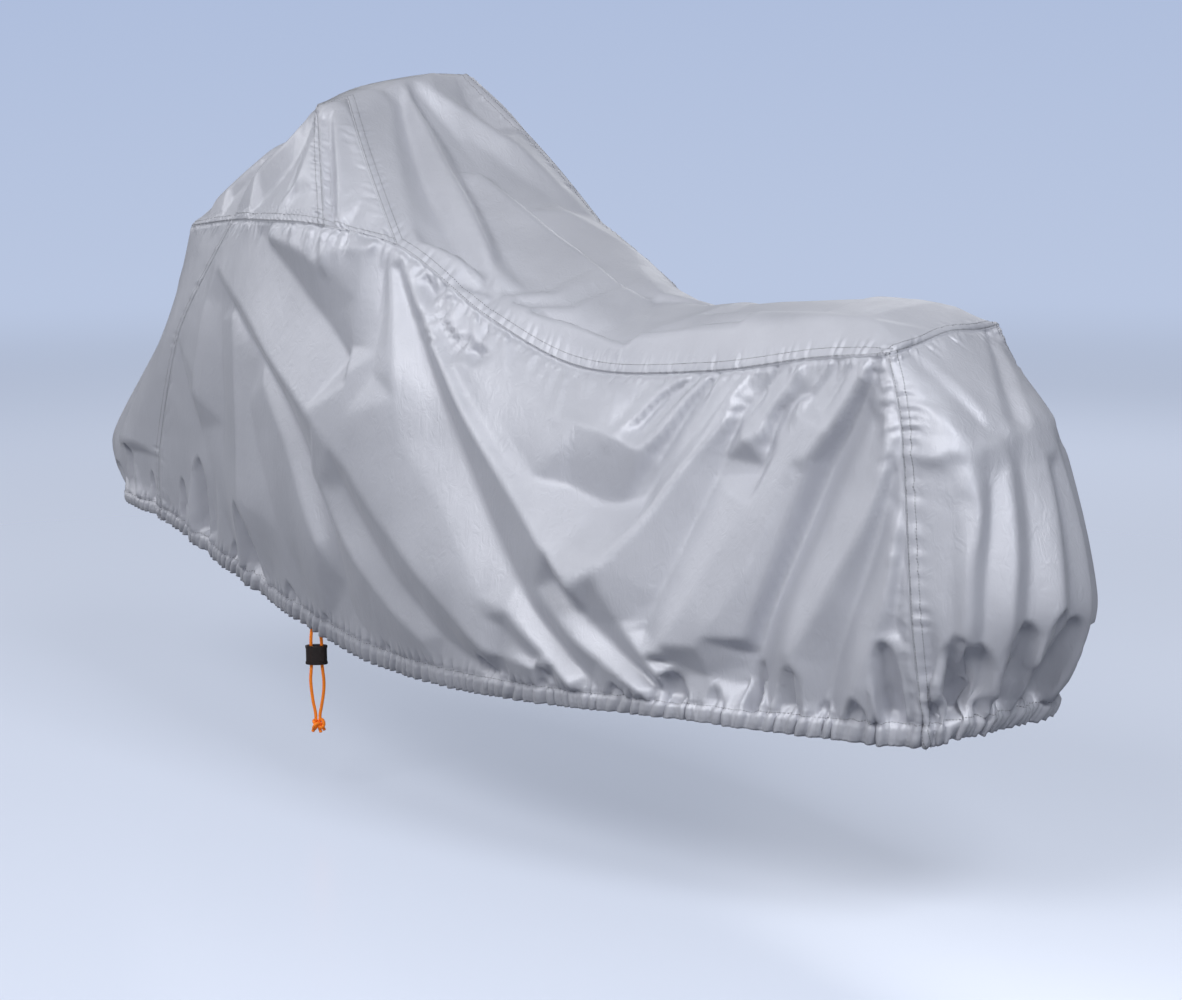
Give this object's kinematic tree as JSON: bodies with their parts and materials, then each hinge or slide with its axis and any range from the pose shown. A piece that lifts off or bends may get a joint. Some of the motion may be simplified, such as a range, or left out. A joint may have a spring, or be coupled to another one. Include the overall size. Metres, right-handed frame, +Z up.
{
  "type": "motorcycle cover",
  "caption": "Fitted cloth cover for a motorcycle, draped and hollow, with a ruched elastic hem and a drawcord with a cord lock.",
  "frame": {"origin": "underside of the cloth at the middle of the ridge, the highest line of the cover, where it rests on the handlebar it covers", "axes": "+X to the tail, +Y to the right-hand side, +Z up; the side shown in the picture faces -Y"},
  "size_m": [2.5036, 0.7211, 1.2284],
  "materials": {
    "cover_cloth": "thin woven cloth with a silver-grey coating, satin sheen, fine wrinkles, double-stitched seams",
    "drawcord": "braided orange cord, matte",
    "cord_lock": "smoky black, slightly translucent moulded plastic"
  },
  "bodies": {
    "root": {"top_panel": "cover_cloth", "hood_front": "cover_cloth", "gusset_left": "cover_cloth", "gusset_right": "cover_cloth", "front_panel": "cover_cloth", "side_left": "cover_cloth", "rear_panel": "cover_cloth", "side_right": "cover_cloth", "drawcord_front_strand": "drawcord", "drawcord_rear_strand": "drawcord", "drawcord_knot": "drawcord", "cord_lock": "cord_lock"}
  },
  "joints": []
}
